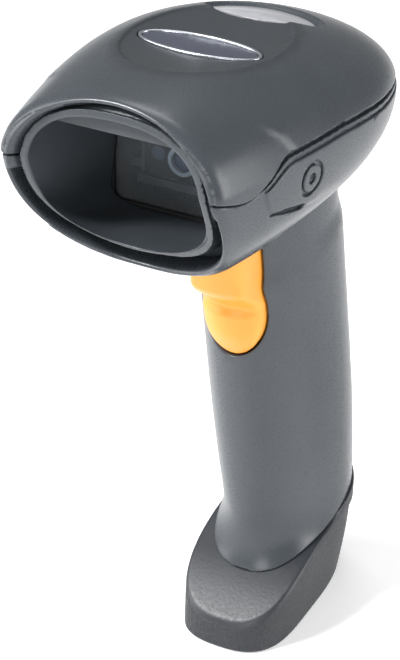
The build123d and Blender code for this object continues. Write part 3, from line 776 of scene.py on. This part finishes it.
def mark(piece, name, measure):
    """Stores a 0 to 1 value at each point of a piece, for its material to read: where its finish changes,
    or where painted shade goes.
    """
    mesh = piece.data
    place = np.empty(len(mesh.vertices) * 3)
    mesh.vertices.foreach_get("co", place)
    place = place.reshape(-1, 3) / MM
    layer = mesh.attributes.new(name, "FLOAT", "POINT")
    layer.data.foreach_set("value", measure(*place.T).astype(np.float32))


def foot_upper(x, y, z):
    return 1.0 - smooth((foot_top(y) - z - 0.7) / 1.0)


# Mask for the painted shade on the cover's flat top, which also makes it rougher: 1 on the surface at the
# flat's level, 0 elsewhere.
def plateau_painted_shade_mask(x, y, z):
    inside = smooth((0.55 - np.abs(z - plateau_z(x, y) + 0.3)) / 0.3)
    return np.where(z > TOP_ABOVE, inside, 0.0)


# Mask for the painted shade inside the nose bowl: rises from behind the lip inward over about 5 mm, within
# the bowl's walls.
def bowl_painted_shade_mask(x, y, z):
    depth = y - face_y(z) - lip_back(z)
    return smooth((depth - 0.8) / 5.0) * (1.0 - smooth((bowl_field(x, y, z, 0.0) - 0.2) / 0.5))


def lathe(name, profile, middle, sides=72):
    """A solid turned about the Y axis from (radius, y) pairs, in millimetres."""
    points, faces = [], []
    for radius, y in profile:
        for k in range(sides):
            a = 2 * math.pi * k / sides
            points.append((MM * (middle[0] + radius * math.cos(a)), MM * y,
                           MM * (middle[1] + radius * math.sin(a))))
    for row in range(len(profile) - 1):
        for k in range(sides):
            n = (k + 1) % sides
            near, far = row * sides, (row + 1) * sides
            faces.append((near + k, near + n, far + n, far + k))
    faces.append(tuple(range(sides)))
    faces.append(tuple(reversed(range((len(profile) - 1) * sides, len(profile) * sides))))
    mesh = bpy.data.meshes.new(name)
    mesh.from_pydata(points, [], faces)
    mesh.polygons.foreach_set("use_smooth", np.ones(len(faces), bool))
    shape = bmesh.new()
    shape.from_mesh(mesh)
    bmesh.ops.recalc_face_normals(shape, faces=shape.faces)
    shape.to_mesh(mesh)
    shape.free()
    return put_in_scene(name, mesh)


def coil(name, radius, wire, low, high, turns, middle):
    """A round wire spring along Y, with closed end turns."""
    steps = int(turns * 40)
    points = []
    for k in range(steps + 1):
        t = k / steps
        lift = t + 0.35 * math.sin(2 * math.pi * t) / (2 * math.pi)
        a = 2 * math.pi * turns * t
        points.append((middle[0] + radius * math.cos(a), low + wire + (high - low - 2 * wire) * lift,
                       middle[1] + radius * math.sin(a)))
    line = bpy.data.curves.new(name, "CURVE")
    line.dimensions = "3D"
    line.bevel_depth = wire * MM
    line.bevel_resolution = 3
    line.use_fill_caps = True
    spline = line.splines.new("POLY")
    spline.points.add(len(points) - 1)
    for point, place in zip(spline.points, points):
        point.co = (*[MM * v for v in place], 1.0)
    holder = put_in_scene(name + "_line", line)
    mesh = bpy.data.meshes.new_from_object(holder.evaluated_get(bpy.context.evaluated_depsgraph_get()))
    bpy.data.objects.remove(holder)
    mesh.name = name
    return put_in_scene(name, mesh)


FORMS = (
    ("cover_shell", top_cover_field, (-36, -53.6, 142.5), (36, 47.6, 168.5), FINE, 0.05),
    ("housing_shell", main_housing_field, (-36, -53.6, 2.4), (36, 53.0, 153.4), FINE, 0.05),
    ("nose_frame", bezel_field, (-28, -53.6, 124.0), (28, -24.0, 166.0), 0.33, 0.03),
    ("trigger_blade", trigger_field, (-9.6, -8.6, 79.6), (9.6, 12.4, 122.0), 0.3, 0.03),
    ("foot_shell", foot_field, (-20, -7.4, -0.8), (20, 53.2, 37.0), 0.36, 0.01),
    ("badge_face", badge_face_field, (-15.6, -19.6, 161.4), (15.6, -6.4, 166.4), 0.24, 0.03),
    ("badge_rim", badge_rim_field, (-15.6, -19.6, 161.4), (15.6, -6.4, 166.4), 0.2, 0.03),
    ("status_window", status_lens_field, (-14, 8.0, 156.0), (14, 23.0, 168.0), 0.3, 0.03),
)
ROLES = {
    "cover_shell": ("scanner", "housing", "top_cover"),
    "housing_shell": ("scanner", "housing", "main_housing"),
    "nose_frame": ("scanner", "housing", "nose_bezel"),
    "trigger_blade": ("trigger", "trigger_plastic", "trigger"),
    "foot_shell": ("scanner", "boot", "handle_foot"),
    "badge_face": ("scanner", "badge", "badge_inlay"),
    "badge_rim": ("scanner", "badge", "badge_inlay"),
    "status_window": ("scanner", "light_lens", "status_lens"),
}

# Marked areas: the foot's smooth top is a real change of finish; on the cover's flat and inside the nose
# bowl the mark paints shade.
MARKS = {"foot_shell": foot_upper, "cover_shell": plateau_painted_shade_mask, "nose_frame": bowl_painted_shade_mask}
FINISHES_AND_PAINTED_SHADE = {"badge_rim": BRIGHT_RIM, "cover_shell": COVER_PAINTED_SHADE, "nose_frame": BOWL_PAINTED_SHADE}
for name, field, low, high, step, adaptivity in FORMS:
    piece = mesh_from_field(name, field, low, high, step, adaptivity)
    if name in MARKS:
        mark(piece, "mark", MARKS[name])
    body, slot, node = ROLES[name]
    add_piece(piece, body, slot, node, material=FINISHES_AND_PAINTED_SHADE.get(name))

LENS = (0.0, 139.5)
dome = [
    (0.15, -20.75), (0.8, -20.72), (1.5, -20.6), (2.1, -20.35),
    (2.5, -20.0), (2.5, -19.6), (0.15, -19.6),
]
add_piece(lathe("lens_dome", dome, LENS), "scanner", "optical_glass", "camera_lens")
spring = coil("trigger_coil", SPRING_RADIUS, SPRING_WIRE, SPRING_FRONT, SPRING_BACK, SPRING_TURNS,
              (0.0, SPRING_Z))
add_piece(spring, "scanner", "spring_steel", "trigger_spring")
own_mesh(spring)

RING = finish_material("lens_ring", srgb(214, 216, 220), 0.35, 0.4, 0.006, 0.04, 0.05, 0.2)
for name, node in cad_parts.items():
    for holder in node.material_slots:
        plain = holder.material.name.split(".")[0] if holder.material else "dark_plastic"
        holder.material = RING if name == "lens_barrel" else MATERIALS[plain]


# ------------------------------------------------------------------ floor, light and camera
def floor_plane(reach=4.0):
    mesh = bpy.data.meshes.new("floor")
    mesh.from_pydata([(-reach, -reach, 0), (reach, -reach, 0), (reach, reach, 0), (-reach, reach, 0)],
                     [], [(0, 1, 2, 3)])
    piece = put_in_scene("floor", mesh)
    piece.location.z = -0.0002
    hand = Nodes("floor_paper")
    hand.set(Base_Color=(0.85, 0.85, 0.855, 1.0), Roughness=0.9, Specular_IOR_Level=0.1)
    hand.set(Emission_Color=(1.0, 1.0, 1.0, 1.0), Emission_Strength=0.36)
    piece.data.materials.append(hand.material)


def soft_light(name, place, aim, width, height, watts):
    lamp = bpy.data.lights.new(name, "AREA")
    lamp.shape = "RECTANGLE"
    lamp.size = width
    lamp.size_y = height
    lamp.energy = watts
    holder = put_in_scene(name, lamp)
    holder.location = place
    holder.rotation_euler = (Vector(aim) - Vector(place)).to_track_quat("-Z", "Y").to_euler()


floor_plane()
MIDDLE = (0.0, 0.0, 0.10)
soft_light("left_box", (-0.95, -0.55, 0.50), MIDDLE, 0.7, 0.9, 8.5)
soft_light("right_box", (0.95, 0.15, 0.35), MIDDLE, 0.6, 0.8, 8.0)
soft_light("rim_key", (-0.48, -0.58, 0.92), MIDDLE, 0.18, 0.18, 12.0)
soft_light("front_fill", (0.15, -1.25, 0.45), MIDDLE, 0.5, 0.4, 3.5)
soft_light("overhead", (-0.25, 0.30, 1.2), MIDDLE, 0.5, 0.35, 3.0)

world = bpy.data.worlds.new("studio")
bpy.context.scene.world = world
world.use_nodes = True
world.node_tree.nodes["Background"].inputs["Color"].default_value = (1.0, 1.0, 1.0, 1.0)
world.node_tree.nodes["Background"].inputs["Strength"].default_value = 0.30

bpy.context.scene.view_settings.view_transform = "Standard"

CAMERA_PLACE = (0.2398, -0.4297, 0.3606)
CAMERA_TILT = math.radians(90.0 - 28.99)
CAMERA_TURN = math.radians(29.91)
eye = bpy.data.cameras.new("camera")
eye.lens = 131.4
eye.sensor_width = 36.0
eye.clip_end = 20.0
camera = put_in_scene("camera", eye)
camera.location = CAMERA_PLACE
camera.rotation_euler = (CAMERA_TILT, 0.0, CAMERA_TURN)
bpy.context.scene.camera = camera
